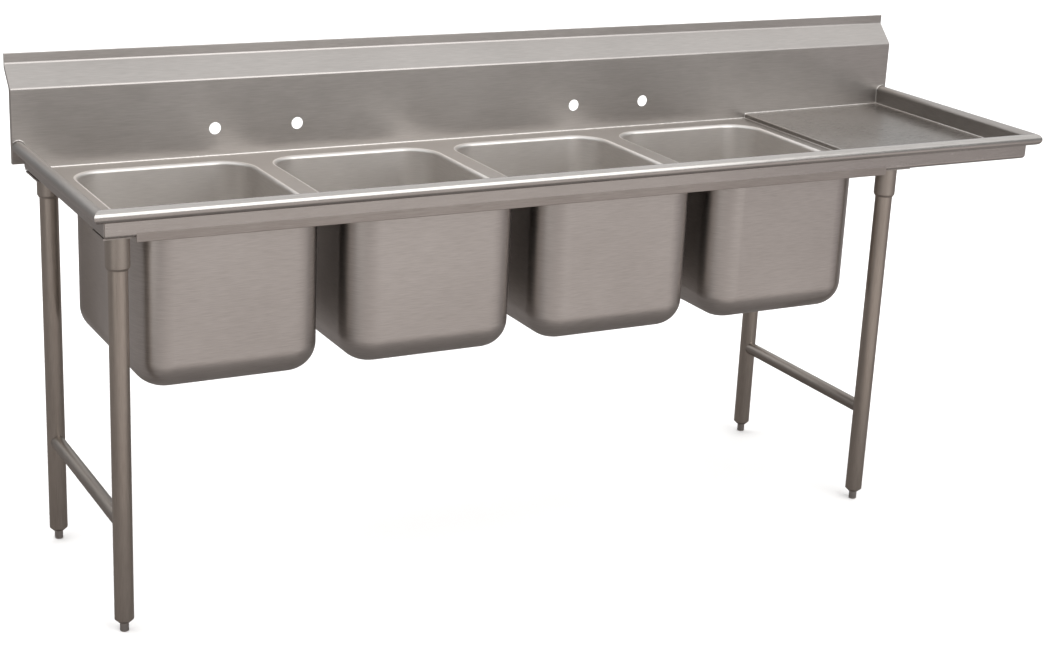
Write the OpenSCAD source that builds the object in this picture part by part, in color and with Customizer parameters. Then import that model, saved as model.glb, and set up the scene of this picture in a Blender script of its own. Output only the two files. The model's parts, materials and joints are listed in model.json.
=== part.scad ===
// Commercial sink with four deep bowls, a rolled rim, a backsplash and a right-hand drainboard.
// Origin: on the floor, under the middle of the plan.
// +X points to the drainboard end, +Y to the wall behind the backsplash, +Z up.

/* [Overall] */
// Length over the rolled rims at both ends
overall_len = 2413; // [2400:1:2440]
// Depth from the front of the rolled rim to the back of the backsplash
overall_depth = 686; // [680:1:700]
// Height of the top of the rolled rim above the floor
rim_height = 940; // [900:1:960]

/* [Rolled rim and deck] */
// Outer radius of the rolled edge
roll_r = 14; // [12:0.5:19]
// Sheet thickness of the rims and the deck
deck_t = 2; // [1.5:0.1:2.5]
// Drop from the top of the rim to the deck around the bowls
deck_drop = 64; // [60:1:80]
// Inside radius where a rim wall meets the deck
cove_r = 8; // [6:0.5:9]

/* [Bowls] */
// Inside width of a bowl, left to right
bowl_w = 406; // [380:1:410]
// Inside length of a bowl, front to back
bowl_d = 508; // [480:1:512]
// Depth of a bowl below the deck
bowl_h = 355; // [250:1:360]
// Distance between the centre lines of neighbouring bowls
bowl_pitch = 465; // [450:1:466]
// Centre line of the first bowl, from the left end
bowl_start = 314; // [307:1:320]
// Middle of the bowls, from the front of the rim
bowl_mid = 325; // [325:1:330]
// Inside radius of the upright corners
bowl_corner_r = 72; // [60:1:80]
// Inside radius between the walls and the floor
bowl_bottom_r = 62; // [40:1:64]
// Radius of the rolled-over lip that joins a bowl to the deck
lip_r = 8; // [5:0.5:8]
// Sheet thickness of a bowl
bowl_t = 1.6; // [1.2:0.1:2]
// Diameter of the drain opening
drain_d = 88.9; // [80:0.1:92]
// Diameter of the sunken seat around the drain opening
drain_seat_d = 114; // [110:1:120]
// Depth of the sunken seat
drain_seat_h = 5; // [3:0.5:8]

/* [Backsplash] */
// Sheet thickness of the backsplash
splash_t = 1.6; // [1.2:0.1:2]
// Distance from the face of the backsplash to its back
splash_setback = 50; // [40:1:55]
// Height of the top of the backsplash above the rim
splash_rise = 188; // [150:1:260]
// Height of the upright tile edge at the top
tile_edge_h = 23; // [15:1:30]
// Height of the sloping return below the tile edge
slope_h = 48; // [35:1:60]
// Depth of the folded flange at each end
end_return = 12; // [8:1:20]
// How far the ends of the backsplash hang below the top of the rim
end_drop = 52; // [45:1:60]
// Diameter of a faucet hole
faucet_hole_d = 28.6; // [22:0.1:32]
// Distance between the two holes of a faucet
faucet_spacing = 203.2; // [101.6:0.1:203.2]
// Height of the faucet holes above the top of the rim
faucet_rise = 1; // [-5:1:30]
// Middle of the left pair of faucet holes, from the left end
faucet_left = 572; // [520:1:590]
// Middle of the right pair of faucet holes, from the left end
faucet_right = 1525; // [1440:1:1540]

/* [Drainboard] */
// Left edge of the drainboard, from the left end
drain_start = 1950; // [1940:1:1960]
// Height of the drainboard's left edge above the deck
pan_step = 12; // [11:0.5:15]
// Rise of the drainboard from its left edge to its right edge
pan_fall = 4; // [0:0.5:8]
// Sheet thickness of the drainboard
pan_t = 1.6; // [1.2:0.1:2]

/* [Legs] */
// Outer radius of a leg tube
leg_r = 20.65; // [19:0.05:20.65]
// Wall thickness of a leg tube
leg_t = 1.6; // [1.2:0.1:2]
// Left pair of legs, from the left end
leg_left = 64; // [64:1:70]
// Right pair of legs, from the left end
leg_right = 1983; // [1977:1:2000]
// Front pair of legs, from the front of the rim
leg_front = 66; // [66:1:80]
// Back pair of legs, from the front of the rim
leg_back = 580; // [560:1:590]
// Outer radius of a leg socket
socket_r = 25.5; // [25:0.5:26]
// Depth of the front sockets' mouths below the deck
front_socket_h = 75; // [60:1:90]
// Depth of the back sockets' mouths below the deck
back_socket_h = 52; // [50:1:90]
// Outer radius of a side rail
rail_r = 15.9; // [12.7:0.1:16]
// Height of the side rails' centre lines above the floor
rail_z = 246; // [200:1:300]

/* [Feet] */
// Radius of a foot's plain stem
foot_r = 9.525; // [8:0.025:10]
// Length of a foot that shows below the leg
foot_out = 21; // [18:1:30]
// Full length of a foot
foot_len = 62; // [58:1:64]
// Radial clearance of a foot in its leg insert
foot_gap = 0.05; // [0.02:0.01:0.1]

/* [Hidden] */
$fn = 96;
BOWLS = 4;
CORNERS = ["front_left", "front_right", "back_left", "back_right"];

x_left = -overall_len / 2;
x_right = overall_len / 2;
y_front = -overall_depth / 2;
y_back = overall_depth / 2;
// Show faces of the rim walls and of the backsplash
x_wall_left = x_left + 2 * roll_r;
x_wall_right = x_right - 2 * roll_r;
y_wall = y_front + 2 * roll_r;
y_splash = y_back - splash_setback;
z_deck = rim_height - deck_drop;
z_deck_under = z_deck - deck_t;

// Plan depth of a rim, to where its cove runs out into the deck
rim_in = 2 * roll_r + cove_r;
// The mitre planes reach past the rim's own depth
mitre = rim_in + 14;

x_drain = x_left + drain_start;
// The deck runs on under the edge of the drainboard
deck_lap = 20;

x_leg_left = x_left + leg_left;
x_leg_right = x_left + leg_right;
y_leg_front = y_front + leg_front;
y_leg_back = y_front + leg_back;
plate_t = 4;
// How far a leg plate reaches past the middle of its leg
plate_reach = 52;
// Room left beside a wall that a piece doesn't touch
wall_gap = 2;
z_plate_under = z_deck_under - plate_t;
socket_cap = 4;
socket_gap = 0.15;
socket_taper_h = 6;
socket_taper_in = 3.5;
screw_r = 4;
screw_len = 9;
screw_gap = 0.05;
screw_key_r = 2.3;
screw_key_depth = 4;
// Height of a set screw above the mouth of its socket
screw_up = 22;
insert_taper_h = 8;
insert_mouth_r = 12.5;
insert_top = 75;
tube_bottom = foot_out + insert_taper_h;
tube_top = z_plate_under - socket_cap - 1;
rail_t = 1.2;

channel_t = 2.5;
channel_start = x_left + 92;
channel_drop = 12;
channel_flange = 12.5;
// Channels under the drainboard
channel_w = 60;
stiffener_t = 1.6;
cross_start = x_drain + deck_lap + 4;

function bowl_x(i) = x_left + bowl_start + i * bowl_pitch;
function leg_x(corner) = (corner == 0 || corner == 2) ? x_leg_left : x_leg_right;
function leg_y(corner) = corner < 2 ? y_leg_front : y_leg_back;
function socket_mouth(corner) = z_deck - (corner < 2 ? front_socket_h : back_socket_h);
// Top face of the drainboard at a distance along X
function pan_z(x) = z_deck + pan_step + pan_fall * (x - x_drain) / (x_wall_right - x_drain);

// A flat outline, drawn in depth and height, run along +X
module along_x(len) {
    rotate([90, 0, 90])
        linear_extrude(len)
            children();
}

// A flat outline, drawn in width and height, run along -Y
module along_y(len) {
    rotate([90, 0, 0])
        linear_extrude(len)
            children();
}

// A quarter of a flat ring, starting at an angle
module quarter_ring(r_in, r_out, start) {
    intersection() {
        difference() {
            circle(r = r_out);
            circle(r = r_in);
        }
        rotate(start)
            square(r_out + 1);
    }
}

module rounded_rectangle(w, d, r) {
    square([w - 2 * r, d], center = true);
    square([w, d - 2 * r], center = true);
    for (sx = [-1, 1], sy = [-1, 1])
        translate([sx * (w / 2 - r), sy * (d / 2 - r)])
            circle(r = r);
}

// ---- Rims: sheet rolled over outwards, an upright wall and a coved foot ----

module rim_section() {
    translate([roll_r, rim_height - roll_r])
        difference() {
            circle(r = roll_r);
            circle(r = roll_r - deck_t);
            // The roll stops short of the wall underneath
            polygon([[0, 0], [2 * roll_r, 0], [2 * roll_r, -2 * roll_r]]);
        }
    translate([2 * roll_r - deck_t, z_deck + cove_r])
        square([deck_t, rim_height - roll_r - z_deck - cove_r]);
    translate([rim_in, z_deck + cove_r])
        quarter_ring(cove_r, cove_r + deck_t, 180);
}

module front_rim() {
    color([0.70, 0.69, 0.68])
        intersection() {
            translate([x_left, y_front, 0])
                along_x(overall_len)
                    rim_section();
            linear_extrude(rim_height + 1)
                polygon([
                    [x_left, y_front],
                    [x_left + mitre, y_front + mitre],
                    [x_right - mitre, y_front + mitre],
                    [x_right, y_front]
                ]);
        }
}

module end_rim() {
    intersection() {
        translate([x_left, y_splash, 0])
            along_y(y_splash - y_front)
                rim_section();
        linear_extrude(rim_height + 1)
            polygon([
                [x_left, y_front],
                [x_left, y_splash],
                [x_left + mitre, y_splash],
                [x_left + mitre, y_front + mitre]
            ]);
    }
}

module left_rim() {
    color([0.66, 0.65, 0.64])
        end_rim();
}

module right_rim() {
    color([0.66, 0.65, 0.64])
        mirror([1, 0, 0])
            end_rim();
}

// ---- Deck: one flat sheet around and between the bowls ----

module deck_panel() {
    color([0.62, 0.60, 0.59])
        difference() {
            translate([x_left + rim_in, y_front + rim_in, z_deck_under])
                cube([x_drain + deck_lap - x_left - rim_in, y_splash - y_front - rim_in, deck_t]);
            for (i = [0:BOWLS - 1])
                translate([bowl_x(i), y_front + bowl_mid, z_deck_under - 1])
                    linear_extrude(deck_t + 2)
                        rounded_rectangle(bowl_w + 2 * lip_r, bowl_d + 2 * lip_r, bowl_corner_r + lip_r);
        }
}

// ---- Bowl: a deep drawn box with large radii and a lip that meets the deck flush ----

// Floor edge, bottom curve, wall and lip, drawn outwards from a corner's centre line
module bowl_section() {
    flat = bowl_corner_r - bowl_bottom_r;
    translate([0, -bowl_h - bowl_t])
        square([flat, bowl_t]);
    translate([flat, bowl_bottom_r - bowl_h])
        quarter_ring(bowl_bottom_r, bowl_bottom_r + bowl_t, 270);
    translate([bowl_corner_r, bowl_bottom_r - bowl_h])
        square([bowl_t, bowl_h - bowl_bottom_r - lip_r]);
    translate([bowl_corner_r + lip_r, -lip_r])
        quarter_ring(lip_r - bowl_t, lip_r, 90);
}

module bowl_shell() {
    side_x = bowl_w / 2 - bowl_corner_r;
    side_y = bowl_d / 2 - bowl_corner_r;
    for (m = [0, 1]) {
        mirror([0, m, 0])
            translate([-side_x, side_y, 0])
                along_x(2 * side_x)
                    bowl_section();
        mirror([m, 0, 0])
            translate([side_x, side_y, 0])
                along_y(2 * side_y)
                    bowl_section();
        for (n = [0, 1])
            mirror([m, 0, 0])
                mirror([0, n, 0])
                    translate([side_x, side_y, 0])
                        rotate_extrude(angle = 90)
                            bowl_section();
    }
    translate([-side_x, -side_y, -bowl_h - bowl_t])
        cube([2 * side_x, 2 * side_y, bowl_t]);
}

module bowl(i) {
    seat_r = drain_seat_d / 2;
    drain_r = drain_d / 2;
    slope_in = 6;
    color([0.58, 0.55, 0.53])
        translate([bowl_x(i), y_front + bowl_mid, z_deck]) {
            difference() {
                bowl_shell();
                translate([0, 0, -bowl_h - bowl_t - 1])
                    cylinder(r = seat_r, h = bowl_t + 2);
            }
            // Sunken seat for the drain fitting
            translate([0, 0, -bowl_h])
                rotate_extrude()
                    polygon([
                        [seat_r, 0],
                        [seat_r - slope_in, -drain_seat_h],
                        [drain_r, -drain_seat_h],
                        [drain_r, -drain_seat_h - bowl_t],
                        [seat_r - slope_in, -drain_seat_h - bowl_t],
                        [seat_r, -bowl_t]
                    ]);
        }
}

// ---- Backsplash: one bent sheet, open at the back ----

// The bent sheet seen from the end, at a thickness measured behind its show side
module splash_section(t) {
    y_tile = y_back - 2 * splash_t;
    z_top = rim_height + splash_rise;
    z_tile = z_top - tile_edge_h;
    z_slope = z_tile - slope_h;
    bend = atan2(y_tile - y_splash, slope_h);
    fold = t * tan(bend / 2);
    polygon([
        [y_splash, z_deck_under],
        [y_splash, z_slope],
        [y_tile, z_tile],
        [y_tile, z_top],
        [y_tile + t, z_top],
        [y_tile + t, z_tile - fold],
        [y_splash + t, z_slope - fold],
        [y_splash + t, z_deck_under]
    ]);
}

module backsplash() {
    hem_h = 12;
    color([0.62, 0.61, 0.60])
        difference() {
            union() {
                translate([x_left, 0, 0])
                    along_x(overall_len)
                        splash_section(splash_t);
                // Hem folded behind the tile edge
                translate([x_left, y_back - splash_t, rim_height + splash_rise - hem_h])
                    cube([overall_len, splash_t, hem_h]);
                // Flange folded back at each end
                for (x = [x_left, x_right - splash_t])
                    translate([x, 0, 0])
                        along_x(splash_t)
                            intersection() {
                                splash_section(end_return);
                                translate([y_splash, 0])
                                    square([splash_setback, rim_height + splash_rise]);
                            }
            }
            // Both ends stop below the rolled rim
            for (x = [x_left - 1, x_wall_right])
                translate([x, y_splash - 1, z_deck_under - 1])
                    cube([2 * roll_r + 1, splash_setback + 2, deck_drop + deck_t + 1 - end_drop]);
            for (x = [faucet_left, faucet_right], s = [-1, 1])
                translate([x_left + x + s * faucet_spacing / 2, y_back, rim_height + faucet_rise])
                    rotate([90, 0, 0])
                        cylinder(d = faucet_hole_d, h = 2 * splash_setback);
        }
}

// ---- Drainboard: a raised pan that falls towards the bowls ----

module drainboard_pan() {
    weld_gap = 0.05;
    color([0.64, 0.62, 0.61])
        difference() {
            translate([0, y_splash, 0])
                along_y(y_splash - y_wall)
                    polygon([
                        [x_drain, z_deck],
                        [x_drain, pan_z(x_drain)],
                        [x_wall_right, pan_z(x_wall_right)],
                        [x_wall_right, pan_z(x_wall_right) - pan_t],
                        [x_drain + pan_t, pan_z(x_drain + pan_t) - pan_t],
                        [x_drain + pan_t, z_deck]
                    ]);
            // The folded edge is shaped to the front rim's coved foot
            translate([x_drain - 1, y_wall, z_deck])
                along_x(pan_t + 2)
                    difference() {
                        translate([-1, -1])
                            square(cove_r + 1);
                        translate([cove_r, cove_r])
                            circle(r = cove_r - weld_gap);
                    }
        }
}

// Channel across the depth under the drainboard, over the right-hand legs
module drainboard_cross_channel() {
    depth = y_splash - y_front - rim_in - 3 * wall_gap;
    weld_gap = 0.2;
    height = pan_z(cross_start) - pan_t - weld_gap - z_deck_under;
    color([0.55, 0.53, 0.52])
        translate([cross_start, y_front + rim_in + wall_gap, z_deck_under])
            difference() {
                cube([channel_w, depth, height]);
                translate([stiffener_t, -1, -1])
                    cube([channel_w - 2 * stiffener_t, depth + 2, height + 1 - stiffener_t]);
            }
}

// Channel along the middle of the drainboard, welded under it
module drainboard_stiffener() {
    x_a = cross_start + channel_w + wall_gap;
    x_b = x_wall_right - 6 * wall_gap;
    height = 10;
    weld_gap = 0.2;
    under_a = pan_z(x_a) - pan_t - weld_gap;
    under_b = pan_z(x_b) - pan_t - weld_gap;
    color([0.55, 0.53, 0.52])
        difference() {
            translate([0, channel_w / 2, 0])
                along_y(channel_w)
                    polygon([[x_a, under_a], [x_b, under_b], [x_b, under_b - height], [x_a, under_a - height]]);
            translate([0, channel_w / 2 - stiffener_t, -stiffener_t])
                along_y(channel_w - 2 * stiffener_t)
                    polygon([
                        [x_a - 1, pan_z(x_a - 1) - pan_t - weld_gap],
                        [x_b + 1, pan_z(x_b + 1) - pan_t - weld_gap],
                        [x_b + 1, under_b - height],
                        [x_a - 1, under_a - height]
                    ]);
        }
}

// ---- Channels under the edges of the deck ----

// Upright face under the front rim along the bowls, its top edge shaped to the rim's coved foot
module front_channel() {
    len = x_drain - channel_start;
    face_y = y_wall - deck_t;
    face_rise = 4;
    weld_gap = 0.05;
    color([0.62, 0.60, 0.59])
        difference() {
            translate([channel_start, face_y, z_deck - channel_drop]) {
                cube([len, channel_t, channel_drop + face_rise]);
                cube([len, channel_flange, channel_t]);
            }
            translate([channel_start - 1, y_front + rim_in, z_deck + cove_r])
                rotate([0, 90, 0])
                    cylinder(r = cove_r + deck_t + weld_gap, h = len + 2);
        }
}

// Angle under the back edge of the deck
module rear_angle() {
    inset = 12;
    len = x_leg_right - plate_reach - wall_gap - channel_start - inset;
    flange = 28;
    height = 18;
    color([0.55, 0.53, 0.52])
        translate([channel_start + inset, y_splash - wall_gap - flange, z_deck_under - height]) {
            translate([0, flange - channel_t, 0])
                cube([len, channel_t, height]);
            translate([0, 0, height - channel_t])
                cube([len, flange, channel_t]);
        }
}

// ---- Legs ----

// Flat plate under the deck that carries a leg socket
module leg_plate(corner) {
    left = corner == 0 || corner == 2;
    front = corner < 2;
    y_leg = leg_y(corner);
    x_start = left ? x_wall_left : x_leg_right - plate_reach;
    x_end = left ? x_leg_left + socket_r : x_leg_right + plate_reach;
    y_start = y_leg - (front ? socket_r : plate_reach);
    y_end = min(y_leg + plate_reach, y_splash - wall_gap);
    color([0.55, 0.53, 0.52])
        translate([x_start, y_start, z_plate_under])
            cube([x_end - x_start, y_end - y_start, plate_t]);
}

// Cup that a leg tube slides into, closed at the top and tapered at the mouth
module leg_socket(corner) {
    mouth = socket_mouth(corner);
    bore_r = leg_r + socket_gap;
    color([0.60, 0.57, 0.54])
        translate([leg_x(corner), leg_y(corner), 0])
            difference() {
                rotate_extrude()
                    polygon([
                        [0, z_plate_under],
                        [socket_r, z_plate_under],
                        [socket_r, mouth + socket_taper_h],
                        [socket_r - socket_taper_in, mouth],
                        [bore_r, mouth],
                        [bore_r, z_plate_under - socket_cap],
                        [0, z_plate_under - socket_cap]
                    ]);
                translate([0, 0, mouth + screw_up])
                    rotate([-90, 0, 0])
                        cylinder(r = screw_r + screw_gap, h = socket_r + 1);
            }
}

// One set screw behind each leg, square on to the tube
module socket_set_screws() {
    color([0.50, 0.49, 0.48])
        for (corner = [0:3])
            translate([leg_x(corner), leg_y(corner), socket_mouth(corner) + screw_up])
                rotate([-90, 0, 0])
                    translate([0, 0, leg_r + screw_gap])
                        difference() {
                            cylinder(r = screw_r, h = screw_len);
                            translate([0, 0, screw_len - screw_key_depth])
                                cylinder(r = screw_key_r, h = screw_key_depth + 1, $fn = 6);
                        }
}

module leg(corner) {
    color([0.56, 0.52, 0.49])
        translate([leg_x(corner), leg_y(corner), tube_bottom])
            difference() {
                cylinder(r = leg_r, h = tube_top - tube_bottom);
                translate([0, 0, -1])
                    cylinder(r = leg_r - leg_t, h = tube_top - tube_bottom + 2);
            }
}

// Plug in the foot of a leg tube, tapered below and bored for the foot
module leg_insert(corner) {
    bore_r = foot_r + foot_gap;
    color([0.58, 0.55, 0.52])
        translate([leg_x(corner), leg_y(corner), 0])
            rotate_extrude()
                polygon([
                    [bore_r, foot_out],
                    [insert_mouth_r, foot_out],
                    [leg_r, tube_bottom],
                    [leg_r - leg_t, tube_bottom],
                    [leg_r - leg_t, insert_top],
                    [bore_r, insert_top]
                ]);
}

// Foot that screws in and out of its insert to level the sink
module foot(corner) {
    bevel = 1.4;
    color([0.60, 0.58, 0.56])
        translate([leg_x(corner), leg_y(corner), 0])
            rotate_extrude()
                polygon([
                    [0, 0],
                    [foot_r - bevel, 0],
                    [foot_r, bevel],
                    [foot_r, foot_len - bevel],
                    [foot_r - bevel, foot_len],
                    [0, foot_len]
                ]);
}

// Tube between the front and back legs, its ends shaped to them
module side_rail(x) {
    len = y_leg_back - y_leg_front;
    weld_gap = 0.02;
    color([0.56, 0.52, 0.49])
        difference() {
            translate([x, y_leg_back, rail_z])
                rotate([90, 0, 0])
                    difference() {
                        cylinder(r = rail_r, h = len);
                        translate([0, 0, -1])
                            cylinder(r = rail_r - rail_t, h = len + 2);
                    }
            for (y = [y_leg_front, y_leg_back])
                translate([x, y, rail_z - 2 * rail_r])
                    cylinder(r = leg_r + weld_gap, h = 4 * rail_r);
        }
}

for (i = [0:BOWLS - 1])
    bowl(i);
deck_panel();
front_rim();
left_rim();
right_rim();
backsplash();
drainboard_pan();
front_channel();
rear_angle();
drainboard_cross_channel();
drainboard_stiffener();
socket_set_screws();
side_rail(x_leg_left);  // side_rail_left
side_rail(x_leg_right);  // side_rail_right
for (c = [0:3]) {
    leg_plate(c);
    leg_socket(c);
    leg(c);
    leg_insert(c);
    foot(c);
}
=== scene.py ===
import bmesh
import bpy
import json
import math
import random
from mathutils import Matrix, Vector


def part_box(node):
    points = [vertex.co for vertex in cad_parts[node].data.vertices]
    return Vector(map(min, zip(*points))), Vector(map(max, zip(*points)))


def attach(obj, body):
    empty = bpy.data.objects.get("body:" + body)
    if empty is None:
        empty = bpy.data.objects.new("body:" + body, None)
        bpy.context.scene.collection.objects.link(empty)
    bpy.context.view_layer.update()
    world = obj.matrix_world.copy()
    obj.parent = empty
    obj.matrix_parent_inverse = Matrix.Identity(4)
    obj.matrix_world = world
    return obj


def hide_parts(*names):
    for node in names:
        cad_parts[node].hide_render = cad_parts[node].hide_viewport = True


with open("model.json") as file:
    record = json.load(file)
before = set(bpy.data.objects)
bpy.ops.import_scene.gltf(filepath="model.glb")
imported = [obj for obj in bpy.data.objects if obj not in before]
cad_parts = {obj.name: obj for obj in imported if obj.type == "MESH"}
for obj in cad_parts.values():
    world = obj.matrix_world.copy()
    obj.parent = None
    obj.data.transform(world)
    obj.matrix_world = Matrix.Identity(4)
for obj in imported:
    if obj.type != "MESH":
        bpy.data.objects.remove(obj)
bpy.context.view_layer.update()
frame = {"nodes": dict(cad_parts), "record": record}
bpy.ops.object.select_all(action="DESELECT")

# ---- Bowls ----
# Each bowl is deep drawn from stainless sheet, with large radii and a soft lip that is
# welded flush into the deck. Its floor has a sunken seat around the drain opening.
bowl_low, bowl_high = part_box("bowl_1")
bowl_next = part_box("bowl_2")[0].x - bowl_low.x
bowl_middle = (bowl_low + bowl_high) / 2
deck_z = bowl_high.z
bowl_depth = 0.355
lip_r = 0.008
# The flat ring outside the lip is there only for the weld
lip_flat = 0.0002
bowl_corner_r = 0.080
bowl_bottom_r = 0.062
bowl_sheet = 0.0016
seat_r, seat_inner_r, drain_r = 0.057, 0.051, 0.04445
seat_drop = 0.005
seat_edge_r = 0.0015
corner_steps = 14
lip_steps, bottom_steps = 7, 12


def linear(hex_colour):
    """An sRGB hex colour as linear light."""
    parts = [int(hex_colour[i:i + 2], 16) / 255 for i in (0, 2, 4)]
    return tuple(c / 12.92 if c <= 0.04045 else ((c + 0.055) / 1.055) ** 2.4 for c in parts) + (1.0,)


def add_node(tree, kind, inputs=None, **settings):
    """Adds a node. A socket that is given another node's output is linked to it."""
    made = tree.nodes.new(kind)
    for key, value in settings.items():
        setattr(made, key, value)
    for key, value in (inputs or {}).items():
        if isinstance(value, bpy.types.NodeSocket):
            tree.links.new(value, made.inputs[key])
        else:
            made.inputs[key].default_value = value
    return made


# Grain lines of a ground sheet are under 0.2 mm apart. They are drawn 1.2 mm apart,
# the finest that shows at this size, and run about 30 mm.
grain_across = 800.0
grain_along = 30.0


def brushed_steel(name, dark, light, roughness, along, wave=0.0005, spread=0.09):
    """Ground 304 stainless: satin, with fine lines along one direction and soft cloudy patches."""
    made = bpy.data.materials.new(name)
    made.use_nodes = True
    tree = made.node_tree
    tree.nodes.clear()
    place = add_node(tree, "ShaderNodeTexCoord").outputs["Object"]
    stretch = tuple(grain_along if axis in along else grain_across for axis in "XYZ")
    lines = add_node(tree, "ShaderNodeMapping", {"Vector": place, "Scale": stretch})
    fine = add_node(tree, "ShaderNodeTexNoise",
                    {"Vector": lines.outputs["Vector"], "Scale": 1.0, "Detail": 2.0, "Roughness": 0.5})
    clouds = add_node(tree, "ShaderNodeTexNoise",
                      {"Vector": place, "Scale": 3.5, "Detail": 3.0, "Roughness": 0.55})
    swell = add_node(tree, "ShaderNodeTexNoise",
                     {"Vector": place, "Scale": 2.6, "Detail": 1.0, "Roughness": 0.4})
    both = add_node(tree, "ShaderNodeMix",
                    {0: 0.4, 2: fine.outputs["Fac"], 3: clouds.outputs["Fac"]})
    level = add_node(tree, "ShaderNodeMapRange",
                     {"Value": both.outputs[0], "From Min": 0.3, "From Max": 0.7})
    tone = add_node(tree, "ShaderNodeMix",
                    {0: level.outputs["Result"], 6: linear(dark), 7: linear(light)},
                    data_type="RGBA")
    gloss = add_node(tree, "ShaderNodeMapRange",
                     {"Value": both.outputs[0], "From Min": 0.3, "From Max": 0.7,
                      "To Min": roughness - spread / 2, "To Max": roughness + spread / 2})
    sheet_swell = add_node(tree, "ShaderNodeBump",
                           {"Height": swell.outputs["Fac"], "Distance": wave, "Strength": 1.0})
    scratches = add_node(tree, "ShaderNodeBump",
                         {"Height": fine.outputs["Fac"], "Distance": 0.000010, "Strength": 1.0,
                          "Normal": sheet_swell.outputs["Normal"]})
    shader = add_node(tree, "ShaderNodeBsdfPrincipled",
                      {"Base Color": tone.outputs[2], "Metallic": 1.0,
                       "Roughness": gloss.outputs["Result"], "Normal": scratches.outputs["Normal"]})
    add_node(tree, "ShaderNodeOutputMaterial", {"Surface": shader.outputs["BSDF"]})
    return made


def pick(kind, test):
    """In edit mode, selects just the corners, edges or faces that pass the test."""
    bpy.ops.mesh.select_mode(type=kind)
    bpy.ops.mesh.select_all(action="DESELECT")
    shape = bmesh.from_edit_mesh(bpy.context.edit_object.data)
    shape.normal_update()
    for part in {"VERT": shape.verts, "EDGE": shape.edges, "FACE": shape.faces}[kind]:
        if test(part):
            part.select_set(True)
    bmesh.update_edit_mesh(bpy.context.edit_object.data)


def middle(part):
    """The middle of an edge's or face's corners."""
    return sum((v.co for v in part.verts), Vector()) / len(part.verts)


def near(a, b, room=0.0004):
    """Whether two heights or places are the same, within the room given."""
    return abs(a - b) < room


def pull(x=0, y=0, z=0):
    """Extrudes what is selected."""
    bpy.ops.mesh.extrude_region_move(TRANSFORM_OT_translate={"value": (x, y, z)})


def scale_about(centre, x=1, y=1, z=1):
    """Scales what is selected about a point."""
    bpy.ops.transform.resize(value=(x, y, z), center_override=centre)


def face_out(test, wanted):
    """Turns the whole shell over if a face picked by test looks away from the wanted direction."""
    bpy.ops.mesh.select_all(action="SELECT")
    bpy.ops.mesh.remove_doubles(threshold=0.00002)
    bpy.ops.mesh.normals_make_consistent(inside=False)
    shape = bmesh.from_edit_mesh(bpy.context.edit_object.data)
    shape.normal_update()
    if next(f for f in shape.faces if test(f)).normal.dot(Vector(wanted)) < 0:
        bpy.ops.mesh.select_all(action="SELECT")
        bpy.ops.mesh.flip_normals()


def apply_modifier(piece, kind, **settings):
    """Adds a modifier and makes it part of the mesh."""
    bpy.context.view_layer.objects.active = piece
    added = piece.modifiers.new(kind, kind)
    for key, value in settings.items():
        setattr(added, key, value)
    bpy.ops.object.modifier_apply(modifier=added.name)


def to_object():
    """Leaves edit mode with the piece's place in its mesh."""
    bpy.ops.object.mode_set(mode="OBJECT")
    bpy.ops.object.transform_apply(location=True, rotation=True, scale=True)
    return bpy.context.object


def smooth(piece, degrees=30):
    """Shades the bends smooth and keeps flat faces flat."""
    bpy.ops.object.select_all(action="DESELECT")
    piece.select_set(True)
    bpy.context.view_layer.objects.active = piece
    bpy.ops.object.shade_smooth_by_angle(angle=math.radians(degrees))
    apply_modifier(piece, "WEIGHTED_NORMAL", keep_sharp=True)


def fit(piece, name, material, slot, *nodes, body="sink"):
    """Names a finished piece, gives it its material, hangs it under its body and hides the CAD parts it
    stands for. The slot is not used.
    """
    piece.name = name
    piece.data.name = name
    if material:
        piece.data.materials.clear()
        piece.data.materials.append(material)
    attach(piece, body)
    if nodes:
        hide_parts(*nodes)
    bpy.ops.object.select_all(action="DESELECT")


def copy_of(piece, x=0, y=0, z=0):
    """A copy with its own mesh, moved in its mesh, that the frame doesn't know yet."""
    made = piece.copy()
    made.data = piece.data.copy()
    for key in [k for k in made.keys() if k.startswith("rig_")]:
        del made[key]
    bpy.context.scene.collection.objects.link(made)
    made.data.transform(Matrix.Translation((x, y, z)))
    return made


def rounded_plane(centre, width, depth, radius):
    """A flat rounded rectangle, left in edit mode with everything selected."""
    bpy.ops.object.select_all(action="DESELECT")
    bpy.ops.mesh.primitive_plane_add(size=1, location=centre)
    bpy.ops.object.transform_apply(location=True, rotation=True, scale=True)
    bpy.ops.object.mode_set(mode="EDIT")
    scale_about(centre, width, depth)
    bpy.ops.mesh.bevel(offset=radius, segments=corner_steps, affect="VERTICES", clamp_overlap=False)
    bpy.ops.mesh.select_all(action="SELECT")


lip_width = bowl_high.x - bowl_low.x
lip_depth = bowl_high.y - bowl_low.y
floor_z = deck_z - bowl_depth
rounded_plane((bowl_middle.x, bowl_middle.y, deck_z), lip_width, lip_depth, bowl_corner_r)
bpy.ops.mesh.inset(thickness=lip_r + lip_flat)
pull(z=-bowl_depth)
for height, radius, steps in ((deck_z, lip_r, lip_steps), (floor_z, bowl_bottom_r, bottom_steps)):
    pick("EDGE", lambda e: near(middle(e).z, height) and len(e.link_faces) == 2
         and any(abs(f.normal.z) < 0.5 for f in e.link_faces)
         and any(abs(f.normal.z) > 0.5 for f in e.link_faces))
    bpy.ops.mesh.bevel(offset=radius, segments=steps, affect="EDGES", clamp_overlap=False)
bpy.ops.mesh.select_all(action="SELECT")
bpy.ops.mesh.remove_doubles(threshold=0.00005)
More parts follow.
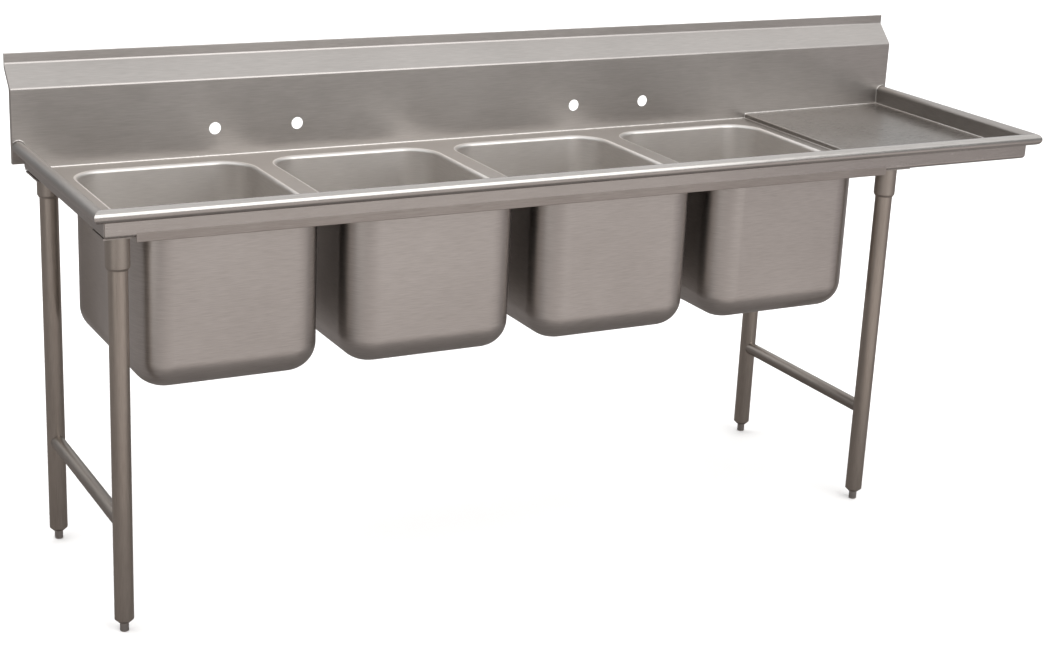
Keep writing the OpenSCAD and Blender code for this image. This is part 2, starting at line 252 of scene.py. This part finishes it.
# The drain seat: the flat floor gives way to rings that step down and in
pick("FACE", lambda f: near(middle(f).z, floor_z) and len(f.verts) > 12)
bpy.ops.mesh.delete(type="ONLY_FACE")
pick("EDGE", lambda e: False)
bpy.ops.mesh.primitive_circle_add(vertices=64, radius=seat_r,
                                  location=(bowl_middle.x, bowl_middle.y, floor_z))
pick("EDGE", lambda e: near(middle(e).z, floor_z) and len(e.link_faces) < 2)
bpy.ops.mesh.fill()
for was, now, drop in ((seat_r, seat_inner_r, seat_drop), (seat_inner_r, drain_r, 0)):
    level = floor_z if was == seat_r else floor_z - seat_drop
    pick("EDGE", lambda e: near(middle(e).z, level, 0.0001) and len(e.link_faces) == 1)
    pull(z=-drop)
    scale_about((bowl_middle.x, bowl_middle.y, level - drop), now / was, now / was)
# Both bends of the seat, where its wall slopes, are rounded
seat_slope = math.atan2(seat_drop, seat_r - seat_inner_r)
pick("EDGE", lambda e: len(e.link_faces) == 2 and near(e.calc_face_angle(0), seat_slope, 0.2)
     and (middle(e).xy - bowl_middle.xy).length < seat_r + 0.001)
bpy.ops.mesh.bevel(offset=seat_edge_r, segments=3, affect="EDGES")
face_out(lambda f: near(middle(f).z, floor_z, 0.0001) and abs(f.normal.z) > 0.9, (0, 0, 1))
bowl = to_object()
# Satin drawn sheet, its fine lines level round the walls, so a soft sheen runs up and down.
# The inside is painted much lighter than the outside: painted light standing in for the light that fills the
# bowls.
bowl.data.materials.append(
    brushed_steel("brushed 304 stainless, bowl inside, painted lighter", "E0DCD8", "F0ECE8", 0.44, "XY", wave=0.0004))
bowl.data.materials.append(
    brushed_steel("drawn 304 stainless, bowl outside", "B1ACA8", "CAC5C1", 0.33, "XY", wave=0.0006))
apply_modifier(bowl, "SOLIDIFY", thickness=bowl_sheet, offset=-1, use_even_offset=True,
               material_offset=1, material_offset_rim=1)
smooth(bowl)
bowl_count = 4
for i in range(bowl_count):
    each = bowl if i == 0 else copy_of(bowl, x=i * bowl_next)
    fit(each, f"bowl_{i + 1}_shell", None, "drawn_bowl", f"bowl_{i + 1}")

# ---- Deck ----
# One flat sheet runs around and between the bowls. Its four openings are cut to the
# bowls' lips and the joints are ground flush, so it reads as one surface with them.
deck_low, deck_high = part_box("deck_panel")
bpy.ops.mesh.primitive_plane_add(size=1, location=((deck_low.x + deck_high.x) / 2,
                                                   (deck_low.y + deck_high.y) / 2, deck_z))
bpy.ops.object.mode_set(mode="EDIT")
scale_about(bpy.context.object.location, deck_high.x - deck_low.x, deck_high.y - deck_low.y)
pull(z=deck_low.z - deck_z)
bpy.ops.mesh.select_all(action="SELECT")
bpy.ops.mesh.normals_make_consistent(inside=False)
deck = to_object()


def cut(piece, *cutters):
    """Takes the cutters out of a piece and throws them away."""
    for cutter in cutters:
        apply_modifier(piece, "BOOLEAN", operation="DIFFERENCE", solver="EXACT", object=cutter)
        bpy.data.objects.remove(cutter)


cut_below, cut_height = 0.01, 0.03
for i in range(bowl_count):
    centre = (bowl_middle.x + i * bowl_next, bowl_middle.y, deck_low.z - cut_below)
    rounded_plane(centre, lip_width, lip_depth, bowl_corner_r)
    pull(z=cut_height)
    bpy.ops.mesh.select_all(action="SELECT")
    bpy.ops.mesh.normals_make_consistent(inside=False)
    cut(deck, to_object())
# Satin sheet brushed along the sink's length
sheet_steel = brushed_steel("brushed 304 stainless, sheet along the sink", "A39D98", "B6B1AC", 0.38, "X")
fit(deck, "deck_sheet", sheet_steel, "satin_sheet", "deck_panel")

# ---- Rolled rims ----
# The rim is the sheet itself, turned up from the deck with a cove and rolled over
# outwards. Front and ends meet in welded mitres, and the front roll is buffed smoother. The front rim's tone
# is painted lighter than the end rims': painted light on the front and painted shade on the ends.
rim_low, rim_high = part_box("front_rim")
rim_top = rim_high.z
roll_r = 0.014
cove_r = 0.008
rim_depth = 2 * roll_r + cove_r
rim_sheet = 0.002
roll_smooth = 40
splash_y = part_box("left_rim")[1].y
roll_steps = 64
cove_steps = 8
# The roll stops an eighth of a turn short of the wall
roll_gap = math.radians(-45)


def rim_outline(corner, turned):
    """The edge of the sheet seen from the end, at a corner of the rim. Left selected in edit mode."""
    depth = Vector((0, 1, 0)) if turned == "front" else Vector((1, 0, 0))
    corner = Vector(corner)
    hub = corner + depth * roll_r - Vector((0, 0, roll_r))
    lie = (0, math.pi / 2, 0) if turned == "front" else (math.pi / 2, 0, 0)
    bpy.ops.object.select_all(action="DESELECT")
    bpy.ops.mesh.primitive_circle_add(vertices=roll_steps, radius=roll_r, location=hub, rotation=lie)
    bpy.ops.object.transform_apply(location=True, rotation=True, scale=True)
    bpy.ops.object.mode_set(mode="EDIT")
    pick("VERT", lambda v: roll_gap < math.atan2((v.co - hub).z, (v.co - hub).dot(depth)) < -0.02)
    bpy.ops.mesh.delete(type="VERT")
    pick("VERT", lambda v: near((v.co - hub).dot(depth), roll_r, 0.00001))
    pull(z=deck_z + cove_r - hub.z)
    axis = Vector((0, 0, 1)).cross(depth)
    foot = corner + depth * rim_depth
    bpy.ops.mesh.spin(steps=cove_steps, angle=math.pi / 2, axis=axis,
                      center=(foot.x, foot.y, deck_z + cove_r))
    bpy.ops.mesh.select_all(action="SELECT")


def on_roll_top(face):
    """Whether a face lies along the highest line of the roll."""
    return middle(face).z > rim_top - 0.001


rim_outline((rim_low.x, rim_low.y, rim_top), "front")
pull(x=rim_high.x - rim_low.x)
for end, way in ((rim_low.x, 1), (rim_high.x, -1)):
    bpy.ops.mesh.select_all(action="SELECT")
    bpy.ops.mesh.bisect(plane_co=(end, rim_low.y, 0), plane_no=(way, -1, 0), clear_inner=True)
face_out(on_roll_top, (0, 0, 1))
front_rim = to_object()
apply_modifier(front_rim, "SOLIDIFY", thickness=rim_sheet, offset=-1, use_even_offset=True)
smooth(front_rim, roll_smooth)

rim_outline((rim_low.x, splash_y, rim_top), "left")
pull(y=rim_low.y - splash_y)
bpy.ops.mesh.select_all(action="SELECT")
bpy.ops.mesh.bisect(plane_co=(rim_low.x, rim_low.y, 0), plane_no=(-1, 1, 0), clear_inner=True)
face_out(on_roll_top, (0, 0, 1))
left_rim = to_object()
apply_modifier(left_rim, "SOLIDIFY", thickness=rim_sheet, offset=-1, use_even_offset=True)
smooth(left_rim, roll_smooth)
right_rim = copy_of(left_rim)
bpy.ops.object.select_all(action="DESELECT")
right_rim.select_set(True)
bpy.context.view_layer.objects.active = right_rim
bpy.ops.object.mode_set(mode="EDIT")
bpy.ops.mesh.select_all(action="SELECT")
scale_about((0, 0, 0), x=-1)
bpy.ops.mesh.flip_normals()
bpy.ops.object.mode_set(mode="OBJECT")
# Satin sheet with the front roll buffed, brushed along each rim. The front tone is painted lighter and the
# end tone darker: painted light and painted shade.
front_rim_steel_painted_light = brushed_steel("brushed 304 stainless, front rim, painted lighter", "B0ACA8", "C4C0BC", 0.23, "X", wave=0.0007)
end_rim_steel_painted_shade = brushed_steel("brushed 304 stainless, end rims, painted darker", "9C9793", "B1ACA8", 0.34, "Y", wave=0.0007)
fit(front_rim, "front_rolled_rim", front_rim_steel_painted_light, "rolled_rim", "front_rim")
fit(left_rim, "left_rolled_rim", end_rim_steel_painted_shade, "rolled_rim", "left_rim")
fit(right_rim, "right_rolled_rim", end_rim_steel_painted_shade, "rolled_rim", "right_rim")

# ---- Backsplash ----
# One sheet folded on a press brake: a plain face, a sloping return and an upright tile
# edge with a closed hem. Its ends are folded back, and it has two pairs of faucet holes.
splash_low, splash_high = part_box("backsplash")
splash_sheet = 0.0016
tile_y = splash_high.y - 2 * splash_sheet
tile_edge = 0.023
slope_rise = 0.048
hem = 0.012
end_fold = 0.012
end_bottom = rim_top - 0.052
hole_steps, hole_cutter = 64, 0.03
wall_x = splash_high.x - 2 * roll_r
bend_r = 0.003
end_bend_r = 0.0015
tile_z = splash_high.z - tile_edge
slope_z = tile_z - slope_rise
splash_middle = (0, splash_y, (splash_low.z + slope_z) / 2)
bpy.ops.mesh.primitive_plane_add(size=1, location=splash_middle, rotation=(math.pi / 2, 0, 0))
bpy.ops.object.transform_apply(location=True, rotation=True, scale=True)
bpy.ops.object.mode_set(mode="EDIT")
scale_about(splash_middle, splash_high.x - splash_low.x, 1, slope_z - splash_low.z)
for at_y, at_z, to_y, to_z in ((splash_y, slope_z, tile_y, tile_z),
                               (tile_y, tile_z, tile_y, splash_high.z),
                               (tile_y, splash_high.z, splash_high.y, splash_high.z),
                               (splash_high.y, splash_high.z, splash_high.y, splash_high.z - hem)):
    pick("EDGE", lambda e: len(e.link_faces) == 1 and near(middle(e).z, at_z)
         and near(middle(e).y, at_y) and near(middle(e).x, 0))
    pull(y=to_y - at_y, z=to_z - at_z)
pick("EDGE", lambda e: len(e.link_faces) == 2 and middle(e).z < splash_high.z - 0.001)
bpy.ops.mesh.bevel(offset=bend_r, segments=4, affect="EDGES")
pick("EDGE", lambda e: len(e.link_faces) == 2 and middle(e).z > splash_high.z - 0.001)
bpy.ops.mesh.bevel(offset=end_bend_r, segments=3, affect="EDGES")
for place, facing in (((wall_x, 0, 0), (1, 0, 0)), ((-wall_x, 0, 0), (1, 0, 0)),
                      ((0, 0, end_bottom), (0, 0, 1))):
    bpy.ops.mesh.select_all(action="SELECT")
    bpy.ops.mesh.bisect(plane_co=place, plane_no=facing)
# The ends stop below the rolled rim, outside the rim's wall
pick("FACE", lambda f: abs(middle(f).x) > wall_x and middle(f).z < end_bottom)
bpy.ops.mesh.delete(type="FACE")
pick("EDGE", lambda e: near(abs(middle(e).x), splash_high.x) and middle(e).y < tile_y + 0.0005)
pull(y=end_fold)
bpy.ops.mesh.select_all(action="SELECT")
bpy.ops.mesh.bisect(plane_co=(0, splash_high.y, 0), plane_no=(0, 1, 0), clear_outer=True)
face_out(lambda f: near(middle(f).y, splash_y) and near(middle(f).x, 0, 1.0), (0, -1, 0))
pick("EDGE", lambda e: len(e.link_faces) == 2 and near(abs(middle(e).x), splash_high.x)
     and e.calc_face_angle(0) > 1.2)
bpy.ops.mesh.bevel(offset=end_bend_r, segments=3, affect="EDGES")
splash = to_object()
apply_modifier(splash, "SOLIDIFY", thickness=splash_sheet, offset=-1, use_even_offset=False)
bpy.ops.object.mode_set(mode="EDIT")
pick("VERT", lambda v: v.co.z > splash_high.z)
scale_about((0, 0, splash_high.z), z=0)
to_object()
cutters = []
for pair in ("faucet_holes_left", "faucet_holes_right"):
    mount = next(m for m in frame["record"]["mounts"] if m["name"] == pair)
    for side in (-1, 1):
        x = mount["pos_m"][0] + side * mount["dims"]["spacing_x_mm"] / 1000 / 2
        bpy.ops.mesh.primitive_cylinder_add(vertices=hole_steps, depth=hole_cutter,
                                            radius=mount["dims"]["hole_r_mm"] / 1000,
                                            location=(x, splash_y, mount["pos_m"][2]),
                                            rotation=(math.pi / 2, 0, 0))
        cutters.append(bpy.context.object)
cut(splash, *cutters)
smooth(splash)
splash_steel = brushed_steel("brushed 304 stainless, backsplash", "ACA7A3", "C0BBB7", 0.38, "X")
fit(splash, "backsplash_sheet", splash_steel, "satin_sheet", "backsplash")

# ---- Drainboard ----
# A sheet pan set one small step above the deck. Its left edge is folded down onto the
# deck and it falls gently that way, so that water runs into the last bowl.
pan_low, pan_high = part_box("drainboard_pan")
pan_sheet = 0.0016
pan_step = 0.012
pan_edge_r = 0.0035
pan_middle = ((pan_low.x + pan_high.x) / 2, (pan_low.y + pan_high.y) / 2, deck_z + pan_step)
bpy.ops.mesh.primitive_plane_add(size=1, location=pan_middle)
bpy.ops.object.transform_apply(location=True, rotation=True, scale=True)
bpy.ops.object.mode_set(mode="EDIT")
scale_about(pan_middle, pan_high.x - pan_low.x, pan_high.y - pan_low.y)
pick("EDGE", lambda e: near(middle(e).x, pan_high.x))
bpy.ops.transform.translate(value=(0, 0, pan_high.z - pan_middle[2]))
pick("EDGE", lambda e: near(middle(e).x, pan_low.x))
pull(z=-pan_step)
face_out(lambda f: middle(f).x > pan_middle[0] - 0.01, (0, 0, 1))
pick("EDGE", lambda e: near(middle(e).x, pan_low.x) and near(middle(e).z, deck_z + pan_step))
bpy.ops.mesh.bevel(offset=pan_edge_r, segments=5, affect="EDGES")
pan = to_object()
apply_modifier(pan, "SOLIDIFY", thickness=pan_sheet, offset=-1, use_even_offset=True)
smooth(pan)
pan_steel = brushed_steel("brushed 304 stainless, drainboard", "9B9590", "B0ABA6", 0.28, "X", wave=0.0006)
fit(pan, "drainboard_sheet", pan_steel, "satin_sheet", "drainboard_pan")

# ---- Channels under the deck ----
# The front channel is a folded strip, flush under the rim along the bowls. The angle at
# the back and the two channels under the drainboard are plain mill stock, welded on.
strip_low, strip_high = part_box("front_channel")
strip_top = deck_z + cove_r
strip_corner_r, strip_bend_r, strip_sheet = 0.004, 0.002, 0.0025
strip_middle = ((strip_low.x + strip_high.x) / 2, strip_low.y, (strip_low.z + strip_top) / 2)
bpy.ops.mesh.primitive_plane_add(size=1, location=strip_middle, rotation=(math.pi / 2, 0, 0))
bpy.ops.object.transform_apply(location=True, rotation=True, scale=True)
bpy.ops.object.mode_set(mode="EDIT")
scale_about(strip_middle, strip_high.x - strip_low.x, 1, strip_top - strip_low.z)
pick("VERT", lambda v: near(v.co.z, strip_low.z))
bpy.ops.mesh.bevel(offset=strip_corner_r, segments=4, affect="VERTICES")
pick("EDGE", lambda e: near(middle(e).z, strip_low.z))
pull(y=strip_high.y - strip_low.y)
face_out(lambda f: near(middle(f).y, strip_low.y), (0, -1, 0))
pick("EDGE", lambda e: near(middle(e).z, strip_low.z) and near(middle(e).y, strip_low.y))
bpy.ops.mesh.bevel(offset=strip_bend_r, segments=3, affect="EDGES")
strip = to_object()
apply_modifier(strip, "SOLIDIFY", thickness=strip_sheet, offset=-1, use_even_offset=True)
smooth(strip)
strip_steel = brushed_steel("brushed 304 stainless, front channel", "9C9590", "B1AAA5", 0.38, "X")
fit(strip, "front_channel_strip", strip_steel, "satin_sheet", "front_channel")
# Mill finish: duller and patchier, with only faint lines
mill_steel = brushed_steel("mill finish stainless", "A39D98", "B8B2AD", 0.42, "X", spread=0.12)
corners = ("front_left", "front_right", "back_left", "back_right")
mill_parts = ["rear_angle", "drainboard_cross_channel", "drainboard_stiffener"]
for name in mill_parts + ["leg_plate_" + corner for corner in corners]:
    for part in frame["nodes"][name].material_slots:
        part.material = mill_steel

# ---- Legs, sockets and feet ----
# Each leg is a satin stainless tube, held in a closed socket under the deck by a set
# screw. A plug in its foot is tapered below and takes the levelling foot.
tube_steps = 64


def ring_piece(centre, outline, closed):
    """Turns an outline of (radius, height) about an upright axis.

    A closed one is a ring, and an open one has end caps.
    """
    bpy.ops.object.select_all(action="DESELECT")
    first_r, first_z = outline[0]
    bpy.ops.mesh.primitive_circle_add(vertices=tube_steps, radius=first_r,
                                      location=(centre.x, centre.y, first_z))
    bpy.ops.object.transform_apply(location=True, rotation=True, scale=True)
    bpy.ops.object.mode_set(mode="EDIT")
    bpy.ops.mesh.select_all(action="SELECT")
    if not closed:
        bpy.ops.mesh.edge_face_add()
    for (was_r, was_z), (now_r, now_z) in zip(outline, outline[1:]):
        pull(z=now_z - was_z)
        scale_about((centre.x, centre.y, now_z), now_r / was_r, now_r / was_r)
    if closed:
        pick("EDGE", lambda e: len(e.link_faces) == 1)
        bpy.ops.mesh.bridge_edge_loops()
    bpy.ops.mesh.select_all(action="SELECT")
    bpy.ops.mesh.normals_make_consistent(inside=False)
    return to_object()


# Satin tube, brushed up and down; sockets and plugs duller; feet turned
tube_steel = brushed_steel("brushed stainless leg tube", "A49B92", "BBB2A9", 0.34, "Z", wave=0.0002)
socket_steel = brushed_steel("satin stainless socket", "A09890", "B8B0A8", 0.38, "", wave=0.0003)
foot_steel = brushed_steel("turned stainless foot", "ABA6A2", "C2BDB9", 0.34, "XY", wave=0.0)
socket_wall, socket_top, socket_taper, socket_taper_h = 0.0048, 0.005, 0.0035, 0.006
socket_bevel, plug_bevel, foot_edge_bevel = 0.0009, 0.0006, 0.0004
sharp_angle = 0.4
stem_room = 0.00005
tube_wall = 0.0016
plug_mouth_r, plug_taper_h = 0.0125, 0.008
foot_bevel = 0.0014
for corner in corners:
    low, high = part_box("leg_socket_" + corner)
    axis = Vector(((low.x + high.x) / 2, (low.y + high.y) / 2, 0))
    r = (high.x - low.x) / 2
    bore = r - socket_wall
    socket = ring_piece(axis, [(bore, high.z - socket_top), (bore, low.z), (r - socket_taper, low.z),
                               (r, low.z + socket_taper_h), (r, high.z)], closed=False)
    apply_modifier(socket, "BEVEL", width=socket_bevel, segments=3,
                   limit_method="ANGLE", angle_limit=sharp_angle)
    smooth(socket)
    fit(socket, "socket_cup_" + corner, socket_steel, "socket_casting", "leg_socket_" + corner)

    low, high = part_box("leg_" + corner)
    r = (high.x - low.x) / 2
    tube = ring_piece(axis, [(r - tube_wall, low.z), (r - tube_wall, high.z), (r, high.z), (r, low.z)],
                      closed=True)
    smooth(tube)
    fit(tube, "leg_tube_" + corner, tube_steel, "leg_tube", "leg_" + corner)

    low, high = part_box("leg_insert_" + corner)
    foot_low, foot_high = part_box("foot_" + corner)
    foot_r = (foot_high.x - foot_low.x) / 2
    bore = foot_r + stem_room
    plug = ring_piece(axis, [(bore, high.z), (bore, low.z), (plug_mouth_r, low.z),
                             (r, low.z + plug_taper_h), (r - tube_wall, low.z + plug_taper_h),
                             (r - tube_wall, high.z)], closed=True)
    apply_modifier(plug, "BEVEL", width=plug_bevel, segments=2, limit_method="ANGLE", angle_limit=sharp_angle)
    smooth(plug)
    fit(plug, "leg_plug_" + corner, socket_steel, "leg_tube", "leg_insert_" + corner)

    foot = ring_piece(axis, [(foot_r - foot_bevel, foot_low.z), (foot_r, foot_low.z + foot_bevel),
                             (foot_r, foot_high.z - foot_bevel), (foot_r - foot_bevel, foot_high.z)],
                      closed=False)
    apply_modifier(foot, "BEVEL", width=foot_edge_bevel, segments=2,
                   limit_method="ANGLE", angle_limit=sharp_angle)
    smooth(foot)
    fit(foot, "levelling_foot_" + corner, foot_steel, "foot_steel", "foot_" + corner,
        body="foot_" + corner)
for part in frame["nodes"]["socket_set_screws"].material_slots:
    part.material = foot_steel

# ---- Side rails ----
# A tube runs from the front to the back leg at each end. Its ends are shaped to the
# legs and welded all round.
# The rail's tone is painted darker than the leg tubes': a painted shade for where it sits under the sink.
rail_steel_painted_shade = brushed_steel("brushed stainless side rail, painted shade", "8F8780", "A69E97", 0.36, "Y", wave=0.0002)
leg_r = (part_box("leg_front_left")[1].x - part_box("leg_front_left")[0].x) / 2
leg_cut_steps, leg_cut_height = 96, 0.1
for side in ("left", "right"):
    low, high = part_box("side_rail_" + side)
    centre = (low + high) / 2
    rail_r = (high.x - low.x) / 2
    front_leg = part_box("leg_front_" + side)
    back_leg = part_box("leg_back_" + side)
    y_front_leg = (front_leg[0].y + front_leg[1].y) / 2
    y_back_leg = (back_leg[0].y + back_leg[1].y) / 2
    bpy.ops.mesh.primitive_cylinder_add(vertices=tube_steps, radius=rail_r, depth=y_back_leg - y_front_leg,
                                        location=centre, rotation=(math.pi / 2, 0, 0))
    bpy.ops.object.mode_set(mode="EDIT")
    bpy.ops.mesh.select_all(action="SELECT")
    bpy.ops.mesh.subdivide(number_cuts=1)
    rail = to_object()
    for y in (y_front_leg, y_back_leg):
        bpy.ops.mesh.primitive_cylinder_add(vertices=leg_cut_steps, radius=leg_r, depth=leg_cut_height,
                                            location=(centre.x, y, centre.z))
        bpy.ops.object.transform_apply(location=True, rotation=True, scale=True)
        cut(rail, bpy.context.object)
    smooth(rail)
    fit(rail, f"{side}_rail_tube", rail_steel_painted_shade, "leg_tube", f"side_rail_{side}")

# ---- Weld beads ----
# The sheets are joined by small welds that are dressed but still show as thin lines. Their
# colour is painted much lighter than the satin sheet: a painted highlight along each bead. They run round
# every inside corner.
random.seed(4)
bead_step = 0.005
bead_uneven = (0.86, 1.12)


def bead(path, radius):
    """A bead along a path, slightly uneven along its length."""
    bpy.ops.object.select_all(action="DESELECT")
    bpy.ops.mesh.primitive_plane_add(size=0.001)
    bpy.ops.object.mode_set(mode="EDIT")
    bpy.ops.mesh.select_mode(type="VERT")
    bpy.ops.mesh.select_all(action="SELECT")
    bpy.ops.mesh.merge(type="CENTER")
    bpy.ops.transform.translate(value=path[0])
    was = Vector(path[0])
    for point in path[1:]:
        gap = Vector(point) - was
        parts = max(1, round(gap.length / bead_step))
        for _ in range(parts):
            pull(*(gap / parts))
        was = Vector(point)
    to_object()
    bpy.ops.object.convert(target="CURVE")
    made = bpy.context.object
    for point in made.data.splines[0].points:
        point.radius = random.uniform(*bead_uneven)
    made.data.bevel_depth = radius
    made.data.bevel_resolution = 2
    made.data.use_fill_caps = True
    bpy.ops.object.convert(target="MESH")
    return bpy.context.object


def arc(centre, radius, start, end, steps=20):
    """Points of an arc in an upright plane along the sink's length, in degrees from +X."""
    turns = [math.radians(start + (end - start) * i / steps) for i in range(steps + 1)]
    return [(centre[0] + radius * math.cos(t), centre[1], centre[2] + radius * math.sin(t)) for t in turns]


# Painted highlight: the weld colour is much lighter than the sheet's, and the dressing is in its lower
# roughness.
weld_steel_painted_highlight = brushed_steel("dressed stainless weld, painted highlight", "D6D2CE", "EAE6E2", 0.28, "", wave=0.0)
wall_left, wall_right = rim_low.x + 2 * roll_r, rim_high.x - 2 * roll_r
pan_left_z = pan_middle[2]
bead_y = splash_y - 0.0006
roll_z = rim_top - roll_r
lift = 0.0006
thick_bead, front_bead, step_bead, rim_bead = 0.0021, 0.0018, 0.0015, 0.0013
round_roll = roll_r + 0.0022
front_wall_y = rim_low.y + 2 * roll_r
beads = {
    "weld_deck_to_splash": ([(wall_left + cove_r, bead_y, deck_z + lift),
                             (pan_low.x, bead_y, deck_z + lift),
                             (pan_low.x, bead_y, pan_left_z + lift),
                             (wall_right, bead_y, pan_high.z + lift)], thick_bead),
    "weld_drainboard_right": ([(wall_right - lift, bead_y, pan_high.z + lift),
                               (wall_right - lift, front_wall_y, pan_high.z + lift)], thick_bead),
    "weld_drainboard_front": ([(pan_low.x, front_wall_y + lift, pan_left_z + lift),
                               (wall_right, front_wall_y + lift, pan_high.z + lift)], front_bead),
    "weld_drainboard_left": ([(pan_low.x - lift, front_wall_y + cove_r, deck_z + lift),
                              (pan_low.x - lift, bead_y, deck_z + lift)], step_bead),
    "weld_right_rim_to_splash": (
        [(wall_right - lift, bead_y, pan_high.z)]
        + arc((rim_high.x - roll_r, bead_y, roll_z), round_roll, 180, 45), rim_bead),
    "weld_left_rim_to_splash": (
        [(wall_left + lift, bead_y, deck_z + cove_r)]
        + arc((rim_low.x + roll_r, bead_y, roll_z), round_roll, 0, 135), rim_bead),
}
for name, (path, radius) in beads.items():
    made = bead(path, radius)
    smooth(made, 60)
    fit(made, name, weld_steel_painted_highlight, "satin_sheet")

# ---- Room, light and camera ----
# A plain pale floor under plain soft studio light.
bpy.ops.mesh.primitive_plane_add(size=80, location=(0, 0, -0.0005))
floor = bpy.context.object
floor.name = "pale_floor"
floor_paint = bpy.data.materials.new("pale matt floor")
floor_paint.use_nodes = True
floor_paint.node_tree.nodes["Principled BSDF"].inputs["Base Color"].default_value = linear("F4F3F2")
floor_paint.node_tree.nodes["Principled BSDF"].inputs["Roughness"].default_value = 0.9
floor_paint.node_tree.nodes["Principled BSDF"].inputs["Specular IOR Level"].default_value = 0.1
floor.data.materials.append(floor_paint)

world = bpy.data.worlds.new("soft grey room")
world.use_nodes = True
world.node_tree.nodes["Background"].inputs["Color"].default_value = (0.33, 0.335, 0.34, 1)
bpy.context.scene.world = world


def soft_light(name, place, aim, width, height, power, seen_in_steel=True):
    """A large flat lamp that points at a place."""
    lamp = bpy.data.lights.new(name, "AREA")
    lamp.shape = "RECTANGLE"
    lamp.size, lamp.size_y = width, height
    lamp.energy = power
    holder = bpy.data.objects.new(name, lamp)
    holder.location = place
    holder.rotation_euler = (Vector(aim) - Vector(place)).to_track_quat("-Z", "Y").to_euler()
    holder.visible_glossy = seen_in_steel
    bpy.context.scene.collection.objects.link(holder)


soft_light("ceiling light", (0, 3, 9), (0, 3, 0), 36, 36, 2900)
soft_light("floor light", (0, 3, 8.9), (0, 3, 0), 36, 36, 3500, seen_in_steel=False)
soft_light("front softbox", (2.2, -6.6, 4.0), (1.2, 0.0, 1.0), 5.2, 6.0, 220)

# Grey cards lie on the floor, seen only in the steel: they keep the upright faces from going white
card_z, card_gap = 0.001, 0.0005
for name, centre, size, shade in (("dark_card", (0, 0), (40, 40), "75706E"),
                                  ("middle_card", (1.0, -3.4), (6.2, 4.8), "A39C99"),
                                  ("right_card", (3.7, -3.4), (2.6, 4.8), "898281"),
                                  ("light_card", (-4.4, -3.6), (3.0, 4.4), "D2CCC8")):
    card_z += card_gap
    bpy.ops.mesh.primitive_plane_add(size=1, location=(*centre, card_z))
    card = bpy.context.object
    card.name = name
    card.scale = (*size, 1)
    bpy.ops.object.transform_apply(location=True, rotation=True, scale=True)
    card_paint = bpy.data.materials.new(name)
    card_paint.use_nodes = True
    card_paint.node_tree.nodes["Principled BSDF"].inputs["Base Color"].default_value = linear(shade)
    card_paint.node_tree.nodes["Principled BSDF"].inputs["Roughness"].default_value = 0.95
    card.data.materials.append(card_paint)
    card.visible_camera = False
    card.visible_shadow = False
    card.visible_diffuse = False

bpy.context.scene.view_settings.view_transform = "Standard"
lens = bpy.data.cameras.new("camera")
lens.lens = 67.62
lens.sensor_width = 36.0
lens.clip_end = 200
camera = bpy.data.objects.new("camera", lens)
turn, tilt, bank = math.radians(28.78), math.radians(17.99), math.radians(2.73)
camera.location = (-2.2425, -3.9825, 1.9533)
camera.rotation_euler = (Matrix.Rotation(-turn, 3, "Z") @ Matrix.Rotation(math.pi / 2 - tilt, 3, "X")
                         @ Matrix.Rotation(bank, 3, "Z")).to_euler()
bpy.context.scene.collection.objects.link(camera)
bpy.context.scene.camera = camera
